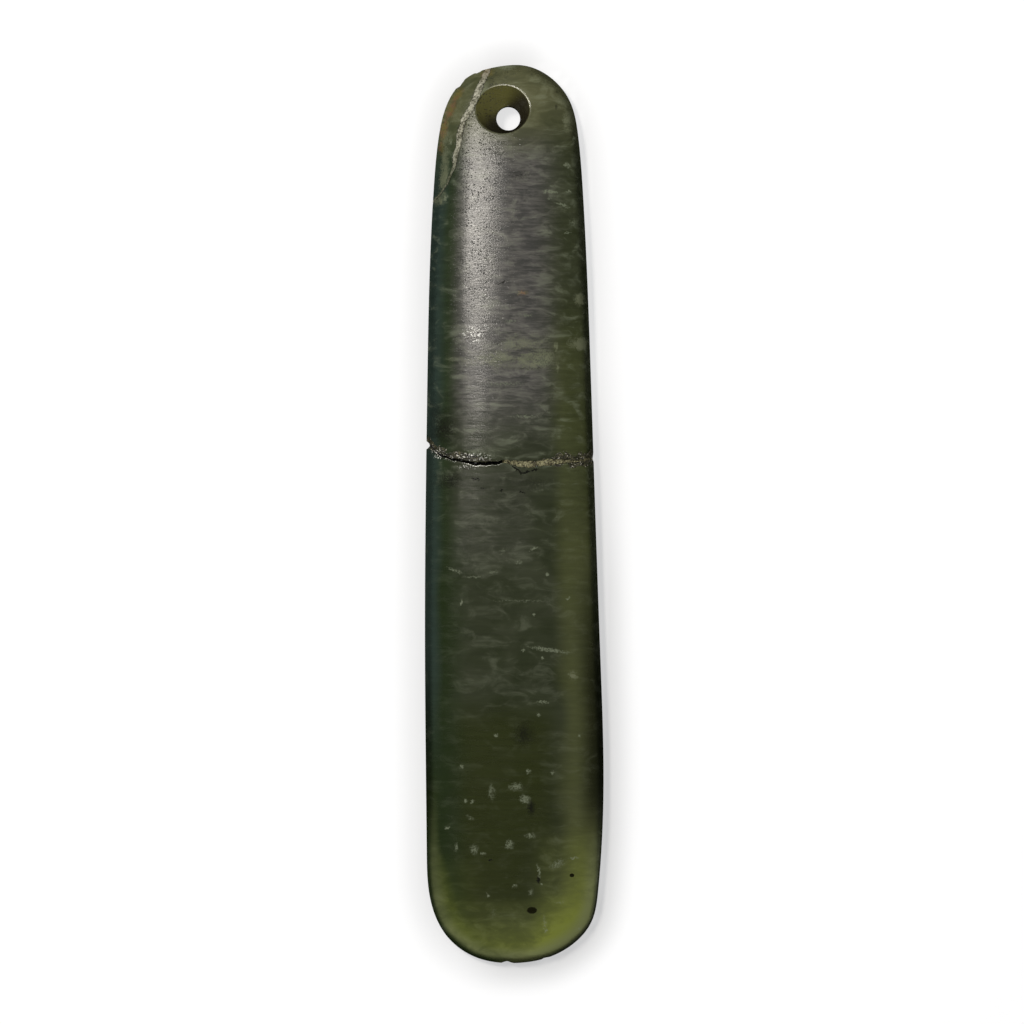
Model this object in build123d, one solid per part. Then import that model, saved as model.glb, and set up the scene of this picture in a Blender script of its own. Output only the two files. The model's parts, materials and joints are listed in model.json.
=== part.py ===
from build123d import *
from math import hypot
from typing import NamedTuple
import os

# Greenstone drop pendant: one long tapering bar of nephrite with rounded ends, a flat
# back and a bevelled face, drilled near its narrow top for a cord. The stone has been
# broken and glued: a cross break parts it near the middle, and a sliver off its top left
# corner is glued back along a slanting crack. So it is three stones and two glue lines.
#
# It lies on its back. X runs across the face, Y runs along the bar towards the drilled
# end, Z stands out of the face. The origin is under the middle of the bar, at its base.
# All sizes are in millimetres.

# The whole bar
LENGTH = 112.6
WIDTH = 22.4
THICKNESS = 6.4
BEVEL_WIDTH = 5.2

# The cord hole: a cone drilled from each side, meeting in a short straight waist.
# The front cone was drilled aslant, so its mouth lies up and left of the waist.
HOLE_FROM_TOP = 6.8
HOLE_OFF_CENTRE = -0.75
WAIST_RADIUS = 1.5
WAIST_LENGTH = 1.0
WAIST_HEIGHT = 2.3
FRONT_MOUTH_WIDTH = 6.8
FRONT_MOUTH_HEIGHT = 6.2
FRONT_MOUTH_SHIFT_LEFT = 0.7
FRONT_MOUTH_SHIFT_UP = 0.95
BACK_MOUTH_RADIUS = 3.0

# The cross break and the corner crack, each with glue in it
BREAK_FROM_BOTTOM = 62.5
BREAK_DROP = 2.4
BREAK_GAP = 0.35
CORNER_LENGTH = 17.2
CORNER_GAP = 0.5
GLUE_RECESS = 0.15
GLUE_CLEARANCE = 0.02

# How far the cutting blocks stand clear of the stone
CUT_MARGIN = 5.0


class RimPoint(NamedTuple):
    across: float  # share of the width, from the middle line, positive to the right
    along: float  # share of the length, from the middle, positive to the drilled end


class SkinRow(NamedTuple):
    height: float  # share of the thickness, from the back
    inset: float  # share of the bevel's width, inwards from the rim


class FaceRow(NamedTuple):
    along: float  # share of the length, from the middle
    height: float  # share of the thickness


class CrackPoint(NamedTuple):
    across: float  # share of the width, from the middle line
    drop: float  # share of the crack's own drop, from where it starts


# The bar's widest outline, anticlockwise from the middle of the bottom end
RIM = [
    RimPoint(+0.000, -0.500),
    RimPoint(+0.236, -0.490),
    RimPoint(+0.436, -0.452),
    RimPoint(+0.468, -0.421),
    RimPoint(+0.498, -0.322),
    RimPoint(+0.482, -0.161),
    RimPoint(+0.429, +0.149),
    RimPoint(+0.384, +0.358),
    RimPoint(+0.356, +0.423),
    RimPoint(+0.305, +0.462),
    RimPoint(+0.068, +0.499),
    RimPoint(-0.098, +0.498),
    RimPoint(-0.257, +0.487),
    RimPoint(-0.358, +0.464),
    RimPoint(-0.419, +0.424),
    RimPoint(-0.448, +0.370),
    RimPoint(-0.487, +0.140),
    RimPoint(-0.500, -0.140),
    RimPoint(-0.490, -0.375),
    RimPoint(-0.467, -0.431),
    RimPoint(-0.377, -0.470),
    RimPoint(-0.209, -0.494),
]

# How the sides round off, from the flat back up to the bevelled face
SKIN = [
    SkinRow(0.00, 0.36),
    SkinRow(0.12, 0.12),
    SkinRow(0.34, 0.00),
    SkinRow(0.60, 0.10),
    SkinRow(0.84, 0.46),
    SkinRow(1.06, 1.16),
]

# The face along the middle line: thin at both ends, fullest above the cross break
FACE = [
    FaceRow(-0.54, 0.42),
    FaceRow(-0.46, 0.53),
    FaceRow(-0.36, 0.66),
    FaceRow(-0.16, 0.85),
    FaceRow(+0.00, 0.955),
    FaceRow(+0.12, 1.00),
    FaceRow(+0.26, 0.985),
    FaceRow(+0.36, 0.92),
    FaceRow(+0.43, 0.82),
    FaceRow(+0.49, 0.67),
    FaceRow(+0.54, 0.50),
]

# The cross break, from left to right past both sides
BREAK = [
    CrackPoint(-0.62, 0.00),
    CrackPoint(-0.47, 0.00),
    CrackPoint(-0.40, 0.56),
    CrackPoint(-0.31, 0.80),
    CrackPoint(-0.17, 1.00),
    CrackPoint(-0.07, 0.86),
    CrackPoint(-0.02, 0.95),
    CrackPoint(+0.09, 1.00),
    CrackPoint(+0.21, 0.90),
    CrackPoint(+0.34, 0.80),
    CrackPoint(+0.62, 0.70),
]

# The corner crack, from past the top end down and out past the left side
CORNER = [
    CrackPoint(-0.11, -0.12),
    CrackPoint(-0.15, 0.04),
    CrackPoint(-0.21, 0.25),
    CrackPoint(-0.24, 0.33),
    CrackPoint(-0.28, 0.41),
    CrackPoint(-0.30, 0.52),
    CrackPoint(-0.32, 0.64),
    CrackPoint(-0.33, 0.75),
    CrackPoint(-0.37, 0.87),
    CrackPoint(-0.42, 0.96),
    CrackPoint(-0.62, 1.20),
]


def inset_rim(inset):
    """The rim's points, each moved inwards by inset along its own normal."""
    points = [(p.across * WIDTH, p.along * LENGTH) for p in RIM]
    moved = []
    for i, (x, y) in enumerate(points):
        before_x, before_y = points[i - 1]
        after_x, after_y = points[(i + 1) % len(points)]
        before = hypot(x - before_x, y - before_y)
        after = hypot(after_x - x, after_y - y)
        tangent_x = (x - before_x) * after / before + (after_x - x) * before / after
        tangent_y = (y - before_y) * after / before + (after_y - y) * before / after
        size = hypot(tangent_x, tangent_y)
        moved.append((x - inset * tangent_y / size, y + inset * tangent_x / size))
    return moved


def skin(shrink):
    """The bar while its face is still level: a loft through its contours, each one a
    closed smooth curve. shrink draws every side in by that much."""
    low = shrink
    high = THICKNESS - shrink
    contours = []
    for row in SKIN:
        points = inset_rim(row.inset * BEVEL_WIDTH + shrink)
        height = low + row.height * (high - low)
        contours.append(Pos(0, 0, height) * make_face(Spline(*points, periodic=True)))
    return loft(contours)


def under_face(shrink):
    """Everything below the bar's face: its long profile, carried across the width."""
    top = [(row.along * LENGTH, row.height * THICKNESS - shrink) for row in FACE]
    first = (top[0][0], -CUT_MARGIN)
    last = (top[-1][0], -CUT_MARGIN)
    outline = make_face([Spline(*top), Polyline(top[0], first, last, top[-1])])
    return extrude(Plane.YZ * outline, amount=WIDTH, both=True)


def bar(shrink=0.0):
    """The whole stone before it is broken, its skin drawn in by shrink."""
    return skin(shrink) & under_face(shrink)


def face_height(y):
    """The face's height over the middle line at y, read between the two nearest rows."""
    along = y / LENGTH
    for low, high in zip(FACE, FACE[1:]):
        if low.along <= along <= high.along:
            share = (along - low.along) / (high.along - low.along)
            return THICKNESS * (low.height + share * (high.height - low.height))
    return THICKNESS


def cord_hole():
    """The drilled hole as one cutter: slanting front cone, straight waist, back cone."""
    waist_y = LENGTH / 2 - HOLE_FROM_TOP
    mouth_x = HOLE_OFF_CENTRE - FRONT_MOUTH_SHIFT_LEFT
    mouth_y = waist_y + FRONT_MOUTH_SHIFT_UP
    waist_low = WAIST_HEIGHT - WAIST_LENGTH / 2
    waist_high = WAIST_HEIGHT + WAIST_LENGTH / 2
    ring = Pos(HOLE_OFF_CENTRE, waist_y) * Circle(WAIST_RADIUS)
    back_mouth = Pos(HOLE_OFF_CENTRE, waist_y) * Circle(BACK_MOUTH_RADIUS)
    front_mouth = Pos(mouth_x, mouth_y, face_height(mouth_y)) * Ellipse(
        FRONT_MOUTH_WIDTH / 2, FRONT_MOUTH_HEIGHT / 2
    )
    waist = extrude(Pos(0, 0, waist_low) * ring, amount=WAIST_LENGTH)
    front = loft([Pos(0, 0, waist_high) * ring, front_mouth], ruled=True)
    back = loft([back_mouth, Pos(0, 0, waist_low) * ring], ruled=True)
    return waist + front + extrude(front_mouth, amount=CUT_MARGIN) + back


def crack_line(points, start_y, drop, shift):
    """A crack's points, moved by shift square to the line between its two ends, to the
    left of the way it runs."""
    line = [(p.across * WIDTH, start_y - p.drop * drop) for p in points]
    run_x = line[-1][0] - line[0][0]
    run_y = line[-1][1] - line[0][1]
    run = hypot(run_x, run_y)
    return [(x - shift * run_y / run, y + shift * run_x / run) for x, y in line]


def block(points):
    """A prism right through the stone's thickness on the closed outline of points."""
    outline = make_face(Polyline(*points, close=True))
    return extrude(Pos(0, 0, -CUT_MARGIN) * outline, amount=THICKNESS + 2 * CUT_MARGIN)


def above_break(shift):
    """The block of everything above the cross break, its edge moved up by shift."""
    start_y = BREAK_FROM_BOTTOM + BREAK_DROP - LENGTH / 2
    line = crack_line(BREAK, start_y, BREAK_DROP, shift)
    far = LENGTH / 2 + CUT_MARGIN
    return block(line + [(line[-1][0], far), (line[0][0], far)])


def beside_corner(shift):
    """The block of everything left of the corner crack, its edge moved right by shift."""
    line = crack_line(CORNER, LENGTH / 2, CORNER_LENGTH, shift)
    return block(line + [(line[-1][0], line[0][1])])


stone = bar()
glue_form = bar(shrink=GLUE_RECESS)
hole = cord_hole()
stone_at_break = BREAK_GAP / 2
stone_at_corner = CORNER_GAP / 2
glue_at_break = stone_at_break - GLUE_CLEARANCE
glue_at_corner = stone_at_corner - GLUE_CLEARANCE

PIECES = {
    "upper_stone": (stone & above_break(stone_at_break)) - beside_corner(stone_at_corner) - hole,
    "lower_stone": stone - above_break(-stone_at_break),
    "corner_stone": (stone & beside_corner(-stone_at_corner)) - hole,
    "break_glue": (glue_form & above_break(-glue_at_break)) - above_break(glue_at_break),
    "corner_glue": (glue_form & beside_corner(glue_at_corner))
    - beside_corner(-glue_at_corner)
    - hole,
}

os.makedirs("parts", exist_ok=True)
for name, piece in PIECES.items():
    export_step(piece, f"parts/{name}.step")
    print(name, len(piece.solids()), "solid", round(piece.volume, 1), "mm3")
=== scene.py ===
import json
from typing import NamedTuple

import bmesh
import bpy
import numpy as np
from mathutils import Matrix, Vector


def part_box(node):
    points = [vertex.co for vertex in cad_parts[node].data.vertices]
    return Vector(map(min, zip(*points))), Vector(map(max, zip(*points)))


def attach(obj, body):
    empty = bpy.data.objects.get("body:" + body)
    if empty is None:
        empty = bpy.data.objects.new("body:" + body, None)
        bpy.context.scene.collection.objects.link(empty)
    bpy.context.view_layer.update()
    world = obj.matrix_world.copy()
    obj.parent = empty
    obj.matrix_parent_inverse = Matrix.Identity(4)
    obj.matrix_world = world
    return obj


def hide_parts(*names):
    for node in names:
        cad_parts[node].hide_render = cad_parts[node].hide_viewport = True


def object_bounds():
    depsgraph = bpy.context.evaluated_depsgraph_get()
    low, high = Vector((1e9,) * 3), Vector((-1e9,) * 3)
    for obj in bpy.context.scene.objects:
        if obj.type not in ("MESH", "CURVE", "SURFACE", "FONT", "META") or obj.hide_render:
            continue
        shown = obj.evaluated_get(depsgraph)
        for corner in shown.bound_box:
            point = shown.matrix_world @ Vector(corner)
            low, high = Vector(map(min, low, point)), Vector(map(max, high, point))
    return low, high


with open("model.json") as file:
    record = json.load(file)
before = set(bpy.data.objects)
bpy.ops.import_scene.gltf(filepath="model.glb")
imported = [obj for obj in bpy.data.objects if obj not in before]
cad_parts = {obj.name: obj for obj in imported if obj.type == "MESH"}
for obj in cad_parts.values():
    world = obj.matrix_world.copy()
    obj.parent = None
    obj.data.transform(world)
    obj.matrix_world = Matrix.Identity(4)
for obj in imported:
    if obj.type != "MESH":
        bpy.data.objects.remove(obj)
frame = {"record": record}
cad_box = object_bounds()


# Lower stone: the wider half of the bar, from the cross break to the rounded bottom end.
# It is nephrite, ground to a flat back and a face with soft hand-worked facets along its
# sides, and polished. Glue in the break holds it to the upper stone.

MM = 0.001
WIDTH, LENGTH, THICKNESS = cad_box[1] - cad_box[0]

RIM_HEIGHT = 0.34 * THICKNESS
CROWN = 1.5 * MM
LEAN_AT_MIDDLE = -0.34 * MM
LEAN = -0.011
SOFTENING = 0.3 * MM
SAWN_GAP = 0.35 * MM
BREAK_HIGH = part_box("lower_stone")[1].y + SAWN_GAP / 2
BREAK_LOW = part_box("upper_stone")[0].y - SAWN_GAP / 2


class RimPoint(NamedTuple):
    across: float  # share of the width, from the middle line, positive to the right
    along: float  # share of the length, from the middle, positive to the drilled end


class Facet(NamedTuple):
    width: float  # metres, inwards from the rim
    slope: float  # degrees from level


class FaceRow(NamedTuple):
    along: float  # share of the length, from the middle
    height: float  # share of the thickness


class BreakPoint(NamedTuple):
    across: float  # share of the width, from the middle line
    drop: float  # share of the break's drop, from its highest point
    gap: float  # millimetres between the two stones
    upper_chip: float  # millimetres of chipped lip on the upper stone
    lower_chip: float  # millimetres of chipped lip on the lower stone


class Nick(NamedTuple):
    across: float  # share of the width
    along: float  # share of the length
    radius: float  # millimetres along the rim
    depth: float  # millimetres into the stone


RIM = [RimPoint(*row) for row in (
    (+0.000, -0.500), (+0.236, -0.490), (+0.436, -0.452), (+0.468, -0.421), (+0.498, -0.322),
    (+0.482, -0.161), (+0.429, +0.149), (+0.384, +0.358), (+0.356, +0.423), (+0.305, +0.462),
    (+0.068, +0.499), (-0.098, +0.498), (-0.257, +0.487), (-0.358, +0.464), (-0.419, +0.424),
    (-0.448, +0.370), (-0.487, +0.140), (-0.500, -0.140), (-0.490, -0.375), (-0.467, -0.431),
    (-0.377, -0.470), (-0.209, -0.494),
)]
LEFT_FACETS = [Facet(0.75 * MM, 66), Facet(0.5 * MM, 48), Facet(2.8 * MM, 29), Facet(4 * MM, 20)]
RIGHT_FACETS = [Facet(0.9 * MM, 66), Facet(1.2 * MM, 42), Facet(2.5 * MM, 17), Facet(4 * MM, 14)]
BACK_FACETS = [Facet(0.6 * MM, 62), Facet(6 * MM, 30)]
FACE = [FaceRow(*row) for row in (
    (-0.54, 0.42), (-0.46, 0.53), (-0.36, 0.66), (-0.16, 0.85), (+0.00, 0.955), (+0.12, 1.00),
    (+0.26, 0.985), (+0.36, 0.92), (+0.43, 0.82), (+0.49, 0.67), (+0.54, 0.50),
)]
BREAK = [BreakPoint(*row) for row in (
    (-0.620, 0.00, 0.24, 1.0, 0.5), (-0.470, 0.00, 0.24, 1.1, 0.6), (-0.437, 0.30, 0.26, 1.2, 0.7),
    (-0.398, 0.56, 0.28, 1.3, 0.6), (-0.359, 0.70, 0.25, 1.3, 0.4), (-0.313, 0.80, 0.26, 1.2, 0.2),
    (-0.270, 0.88, 0.30, 1.1, 0.1), (-0.220, 0.97, 0.40, 1.0, 0.1), (-0.175, 1.00, 0.36, 0.9, 0.1),
    (-0.126, 0.94, 0.32, 0.8, 0.1), (-0.069, 0.87, 0.32, 0.3, 0.1), (-0.024, 0.93, 0.60, 0.3, 0.1),
    (+0.035, 0.98, 0.78, 0.2, 0.1), (+0.093, 1.00, 0.80, 0.2, 0.2), (+0.153, 0.98, 0.80, 0.3, 0.2),
    (+0.210, 0.90, 0.80, 0.6, 0.4), (+0.255, 0.85, 0.50, 1.2, 0.7), (+0.338, 0.80, 0.34, 1.7, 1.0),
    (+0.422, 0.74, 0.30, 1.4, 0.9), (+0.620, 0.70, 0.30, 1.0, 0.6),
)]
SLIT_SIDES = 60  # a slit between merged points has fewer sides than this, an open sheet more
NICKS = [Nick(*row) for row in (
    (-0.040, -0.499, 0.50, 0.22), (+0.170, -0.493, 0.35, 0.10), (-0.492, +0.0765, 0.40, 0.50),
    (+0.440, +0.063, 0.45, 0.10), (-0.300, +0.478, 0.60, 0.16), (-0.200, +0.492, 0.40, 0.10),
)]


def cubic(knots, values, at):
    """Smooth curve through values at knots, read at at: a cubic between each two knots,
    whose bends at the knots solve the one linear system that makes slope and bend run on."""
    gap = np.diff(knots)[:, None]
    slope = np.diff(values, axis=0) / gap
    system = np.eye(len(knots))
    inner = np.arange(1, len(knots) - 1)
    system[inner, inner - 1] = gap[:-1, 0]
    system[inner, inner] = 2 * (gap[:-1, 0] + gap[1:, 0])
    system[inner, inner + 1] = gap[1:, 0]
    turn = np.zeros_like(values)
    turn[inner] = 6 * np.diff(slope, axis=0)
    bend = np.linalg.solve(system, turn)
    i = np.clip(np.searchsorted(knots, at, side="right") - 1, 0, len(knots) - 2)
    t = (at - np.asarray(knots)[i])[:, None]
    start = slope[i] - gap[i] * (2 * bend[i] + bend[i + 1]) / 6
    return values[i] + t * (start + t * (bend[i] / 2 + t * (bend[i + 1] - bend[i]) / (6 * gap[i])))


def travelled(points):
    """How far along a line each of its points lies."""
    return np.concatenate([[0.0], np.cumsum(np.hypot(*np.diff(points, axis=0).T))])


def whole_rim(count):
    """The bar's widest outline, anticlockwise: the smooth curve through three laps of the
    table's points, of which the middle lap is kept, so that it closes without a corner."""
    lap = np.array(RIM) * (WIDTH, LENGTH)
    laps = np.vstack([lap, lap, lap, lap[:1]])
    run = travelled(laps)
    at = np.linspace(run[len(lap)], run[2 * len(lap)], count, endpoint=False)
    return cubic(run, laps, at)


rim = whole_rim(1200)


def rim_reach(points):
    """How far inside the rim each point lies, and the way inwards there: the nearest of
    the rim's samples, then the nearer of the two straight stretches that meet at it."""
    crowd = np.array_split(points, len(points) // 2000 + 1)
    nearest = np.concatenate([((p[:, None] - rim[None]) ** 2).sum(2).argmin(1) for p in crowd])
    reach = np.full(len(points), np.inf)
    inwards = np.zeros_like(points)
    for step in (-1, 0):
        start = rim[nearest + step]
        way = rim[(nearest + step + 1) % len(rim)] - start
        share = ((points - start) * way).sum(1) / (way**2).sum(1)
        off = points - start - np.clip(share, 0, 1)[:, None] * way
        nearer = np.hypot(*off.T) < reach
        reach = np.where(nearer, np.hypot(*off.T), reach)
        normal = np.stack([-way[:, 1], way[:, 0]], 1) / np.hypot(*way.T)[:, None]
        inwards = np.where(nearer[:, None], normal, inwards)
    return reach, inwards


def facet_rise(facets, reach):
    """Rise above the rim at each distance inside it: the facets' slopes one after the
    other, the last one going on, blurred a little where they meet and added up."""
    step = 0.01 * MM
    distance = np.arange(0, 14 * MM, step)
    edges = np.cumsum([f.width for f in facets])[:-1]
    slope = np.tan(np.radians([f.slope for f in facets]))[np.searchsorted(edges, distance)]
    spread = np.arange(-3 * SOFTENING, 3 * SOFTENING, step)
    weight = np.exp(-0.5 * (spread / SOFTENING) ** 2)
    padded = np.pad(slope, len(weight), mode="edge")
    blurred = np.convolve(padded, weight / weight.sum(), "same")[len(weight) :][: len(distance)]
    return np.interp(reach, distance, (np.cumsum(blurred) - blurred[0]) * step)


def ripple(x, y, size, seed):
    """Smooth random relief from -1 to 1: random heights on a square lattice, one to each
    size, read between its knots with a soft step."""
    lattice = np.random.default_rng(seed).uniform(-1, 1, (128, 128))
    u, v = x / size, y / size
    i, j = np.floor(u).astype(int), np.floor(v).astype(int)
    a, b = u - i, v - j
    a, b = a * a * (3 - 2 * a), b * b * (3 - 2 * b)
    low = lattice[i % 128, j % 128] * (1 - a) + lattice[(i + 1) % 128, j % 128] * a
    high = lattice[i % 128, (j + 1) % 128] * (1 - a) + lattice[(i + 1) % 128, (j + 1) % 128] * a
    return low * (1 - b) + high * b


def soft_step(value, start, end):
    """0 before start, 1 after end, and a smooth S between them. end may lie before start."""
    t = np.clip((value - start) / (end - start), 0, 1)
    return t * t * (3 - 2 * t)


def break_y(x, side):
    """Height up the bar of the cross break's line: the table's straight stretches,
    roughened by two sizes of jag. side 1 gives its upper lip, -1 its lower lip and 0 its
    middle; the two lips are jagged differently."""
    table = np.array(BREAK)
    line = BREAK_HIGH - np.interp(x / WIDTH, table[:, 0], table[:, 1]) * (BREAK_HIGH - BREAK_LOW)
    line = line + 0.09 * MM * ripple(x, 0 * x, 0.7 * MM, 3) + 0.04 * MM * ripple(x, 0 * x, 0.25 * MM, 4)
    half = np.interp(x / WIDTH, table[:, 0], table[:, 2]) * MM / 2
    jag = 0.3 * ripple(x, side + 0 * x, 0.5 * MM, 5) + 0.2 * ripple(x, side + 0 * x, 0.2 * MM, 6)
    return line + side * half * (1 + jag)


LOWER_CHIPS, UPPER_CHIPS, UPPER_CORNER_CHIPS, CORNER_CHIPS = 31, 33, 35, 37  # seeds


def lip_chips(x, y, side, seed):
    """Depth chipped off the face beside the break: a scoop from the break's lip that runs
    out at the table's chip width, broken up by ripples."""
    table = np.array(BREAK)
    width = np.interp(x / WIDTH, table[:, 0], table[:, 3 if side > 0 else 4]) * MM
    width = width * (0.7 + 0.5 * ripple(x, y, 0.9 * MM, seed))
    share = np.clip(1 - side * (y - break_y(x, side)) / np.maximum(width, 0.02 * MM), 0, 1)
    flakes = 0.16 * ripple(x, y, 0.45 * MM, seed + 1) + 0.14 * ripple(x, y, 0.2 * MM, seed + 2)
    return share**0.8 * np.minimum(width, 0.9 * MM) * (0.26 + flakes)


def lower_of(side, face, reach):
    """The lower of two heights, rounded where they cross: their mean less half the root of
    the squared difference plus a squared softness. On the rim it is the side's height."""
    rounded = (side + face - np.sqrt((side - face) ** 2 + (2.3 * SOFTENING) ** 2)) / 2
    return side + (rounded - side) * soft_step(reach, 0, 1.5 * SOFTENING)


def rim_height(y):
    """Height of the rim: level, and lower round the two ends."""
    return RIM_HEIGHT * (1 - 0.3 * soft_step(np.abs(y), 46 * MM, 55 * MM))


def face_height(x, y, reach):
    """Height of the face: the facets rise from the rim until they meet the long profile,
    which a crown lowers to both sides and hand grinding makes waver. The left facets are
    ground deeper above the cross break, and deepest beside the hole."""
    table = np.array(FACE)
    profile = cubic(table[:, 0] * LENGTH, table[:, 1:] * THICKNESS, y)[:, 0]
    middle = LEAN_AT_MIDDLE + LEAN * y
    crown = CROWN * (1 + 0.3 * soft_step(y, 28 * MM, 46 * MM)) * ((x - middle) / (WIDTH / 2)) ** 2
    waver = 0.03 * MM * ripple(x, y, 7 * MM, 8) + 0.01 * MM * ripple(x, y, 2.5 * MM, 9)
    share = soft_step(x, 1 * MM, 5 * MM) * soft_step(y, 22 * MM, -22 * MM)
    ground_off = 0.35 * soft_step(y, -8 * MM, 8 * MM) - 0.2 * soft_step(y, 14 * MM, 26 * MM)
    ground_off += 0.65 * soft_step(y, 28 * MM, 50 * MM)
    ground_off *= MM * (1 - np.exp(-reach / (1.1 * MM))) * soft_step(x, 2 * MM, -3 * MM)
    left = facet_rise(LEFT_FACETS, reach * (1 + 0.2 * soft_step(x, 0, 5 * MM)) - ground_off)
    side = left * (1 - share) + facet_rise(RIGHT_FACETS, reach) * share
    return lower_of(rim_height(y) + side, profile - crown + waver, reach)


def back_height(x, y, reach):
    """Height of the back: level, and rounded up to the rim."""
    return -lower_of(facet_rise(BACK_FACETS, reach) - rim_height(y), 0 * x, reach)


def crowded(count, near=0.85):
    """Shares from 0 to 1 that crowd towards both ends: a straight run less a sine."""
    s = np.linspace(0, 1, count)
    return s - near * np.sin(2 * np.pi * s) / (2 * np.pi)


def resampled(line, shares):
    """The points of a line at the given shares of its length."""
    run = travelled(line)
    at = shares * run[-1]
    return np.stack([np.interp(at, run, line[:, 0]), np.interp(at, run, line[:, 1])], 1)


def rim_inside(line):
    """Which points of a line that crosses the bar lie between its two sides."""
    side = rim[np.abs(rim[:, 1]) < 0.4 * LENGTH]
    left, right = side[side[:, 0] < 0][::-1], side[side[:, 0] > 0]
    left, right = left[np.argsort(left[:, 1])], right[np.argsort(right[:, 1])]
    low = np.interp(line[:, 1], left[:, 1], left[:, 0])
    return (line[:, 0] > low) & (line[:, 0] < np.interp(line[:, 1], right[:, 1], right[:, 0]))


def rim_stretch(start, end):
    """The rim's points from the one nearest start, anticlockwise, to the one nearest end."""
    first = ((rim - start) ** 2).sum(1).argmin()
    last = ((rim - end) ** 2).sum(1).argmin()
    return rim[(first + np.arange((last - first) % len(rim) + 1)) % len(rim)]


def four_sided(low, high, left, right):
    """Grid between four lines that meet at their ends: the sum of the two ways of sliding
    one side into its opposite, less the plain grid of the four corners."""
    u = (travelled(low) / travelled(low)[-1])[None, :, None]
    v = (travelled(left) / travelled(left)[-1])[:, None, None]
    along = (1 - v) * low[None] + v * high[None]
    across = (1 - u) * left[:, None] + u * right[:, None]
    corners = (1 - v) * ((1 - u) * low[0] + u * low[-1]) + v * ((1 - u) * high[0] + u * high[-1])
    return along + across - corners


def lifted(plan, height):
    """A flat grid raised into space: height gives z for all its x, y and rim distances."""
    flat = plan.reshape(-1, 2)
    z = height(flat[:, 0], flat[:, 1], rim_reach(flat)[0])
    return np.dstack([plan, z.reshape(plan.shape[:2])])


def wall(top, bottom, rows, rough, seed):
    """Broken wall between two edges with the same plan: straight up and down, and
    roughened between them where it is high."""
    share = np.linspace(0, 1, rows)[:, None]
    grid = top[None] * (1 - share[..., None]) + bottom[None] * share[..., None]
    high = np.clip((top[:, 2] - bottom[:, 2]) / MM, 0, 1)[None]
    bulge = np.sin(np.pi * share) * rough * high
    run = travelled(top[:, :2])[None] + 0 * share
    grid[..., 1] += bulge * ripple(run, grid[..., 2], 0.6 * MM, seed)
    grid[..., 0] += bulge * ripple(run, grid[..., 2], 0.6 * MM, seed + 1)
    return grid


def joined(name, grids):
    """One mesh object from grids of points that share their edges: each grid cell is a
    face, points that coincide are merged, slits are filled, and the faces point outwards."""
    points, faces, first = [], [], 0
    for grid in grids:
        rows, columns = grid.shape[:2]
        index = first + np.arange(rows * columns).reshape(rows, columns)
        corners = [index[:-1, :-1], index[:-1, 1:], index[1:, 1:], index[1:, :-1]]
        faces.append(np.stack(corners, -1).reshape(-1, 4))
        points.append(grid.reshape(-1, 3))
        first += rows * columns
    mesh = bpy.data.meshes.new(name)
    mesh.from_pydata(np.concatenate(points).tolist(), [], np.concatenate(faces).tolist())
    shell = bmesh.new()
    shell.from_mesh(mesh)
    bmesh.ops.remove_doubles(shell, verts=shell.verts, dist=0.002 * MM)
    bmesh.ops.holes_fill(shell, edges=shell.edges, sides=SLIT_SIDES)
    bmesh.ops.recalc_face_normals(shell, faces=shell.faces)
    shell.to_mesh(mesh)
    shell.free()
    mesh.shade_smooth()
    piece = bpy.data.objects.new(name, mesh)
    bpy.context.scene.collection.objects.link(piece)
    return piece


def mesh_points(piece):
    """All the points of a piece's mesh, one row each."""
    flat = np.zeros(len(piece.data.vertices) * 3, np.float32)
    piece.data.vertices.foreach_get("co", flat)
    return flat.reshape(-1, 3).astype(float)


def nicked(piece):
    """Presses the table's nicks into the rim: each pushes the side inwards, most at its
    middle and less with the distance from it and from the rim."""
    points = mesh_points(piece)
    reach, inwards = rim_reach(points[:, :2])
    for n in NICKS:
        off = np.hypot(points[:, 0] - n.across * WIDTH, points[:, 1] - n.along * LENGTH)
        push = n.depth * MM * np.exp(-((off / (n.radius * MM)) ** 4))
        push *= np.exp(-reach / (0.9 * MM)) * (1 + 0.4 * ripple(points[:, 0], points[:, 2], 0.3 * MM, 21))
        points[:, :2] += inwards * push[:, None]
    piece.data.vertices.foreach_set("co", points.astype(np.float32).ravel())
    piece.data.update()


def lower_face(x, y, reach):
    return face_height(x, y, reach) - lip_chips(x, y, -1, LOWER_CHIPS)


def lower_stone():
    """Face and back are four-sided grids between the break, the two sides and the bottom
    end's arc, with a broken wall between their edges at the break."""
    columns, rows = crowded(101), crowded(291, 0.7)
    x = np.linspace(-WIDTH / 2, WIDTH / 2, 600)
    edge = np.stack([x, break_y(x, -1)], 1)
    edge = edge[rim_inside(edge)]
    corner_left, corner_right = (-0.41 * WIDTH, -0.46 * LENGTH), (0.41 * WIDTH, -0.46 * LENGTH)
    left = rim_stretch(edge[0], corner_left)
    right = rim_stretch(corner_right, edge[-1])[::-1]
    end = rim_stretch(left[-1], right[-1])
    edge[0], edge[-1] = left[0], right[0]
    plan = four_sided(
        resampled(edge, columns), resampled(end, columns), resampled(left, rows), resampled(right, rows)
    )
    face = lifted(plan, lower_face)
    back = lifted(plan, back_height)
    return joined("lower_stone_nephrite", [face, back, wall(face[0], back[0], 14, 0.08 * MM, 41)])


lower = lower_stone()
nicked(lower)


class Mark(NamedTuple):
    x: float  # millimetres from the bar's middle
    y: float
    across: float  # half its width in millimetres
    along: float  # half its height in millimetres
    strength: float
    turn: float = 0.0  # degrees anticlockwise


MARK_REACH = 1.5  # how far a mark's soft ellipsoid runs, in half sizes of the mark
MARK_GAIN = 1.6
MARK_HEIGHT = 0.8 * THICKNESS  # where its middle lies
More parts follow.
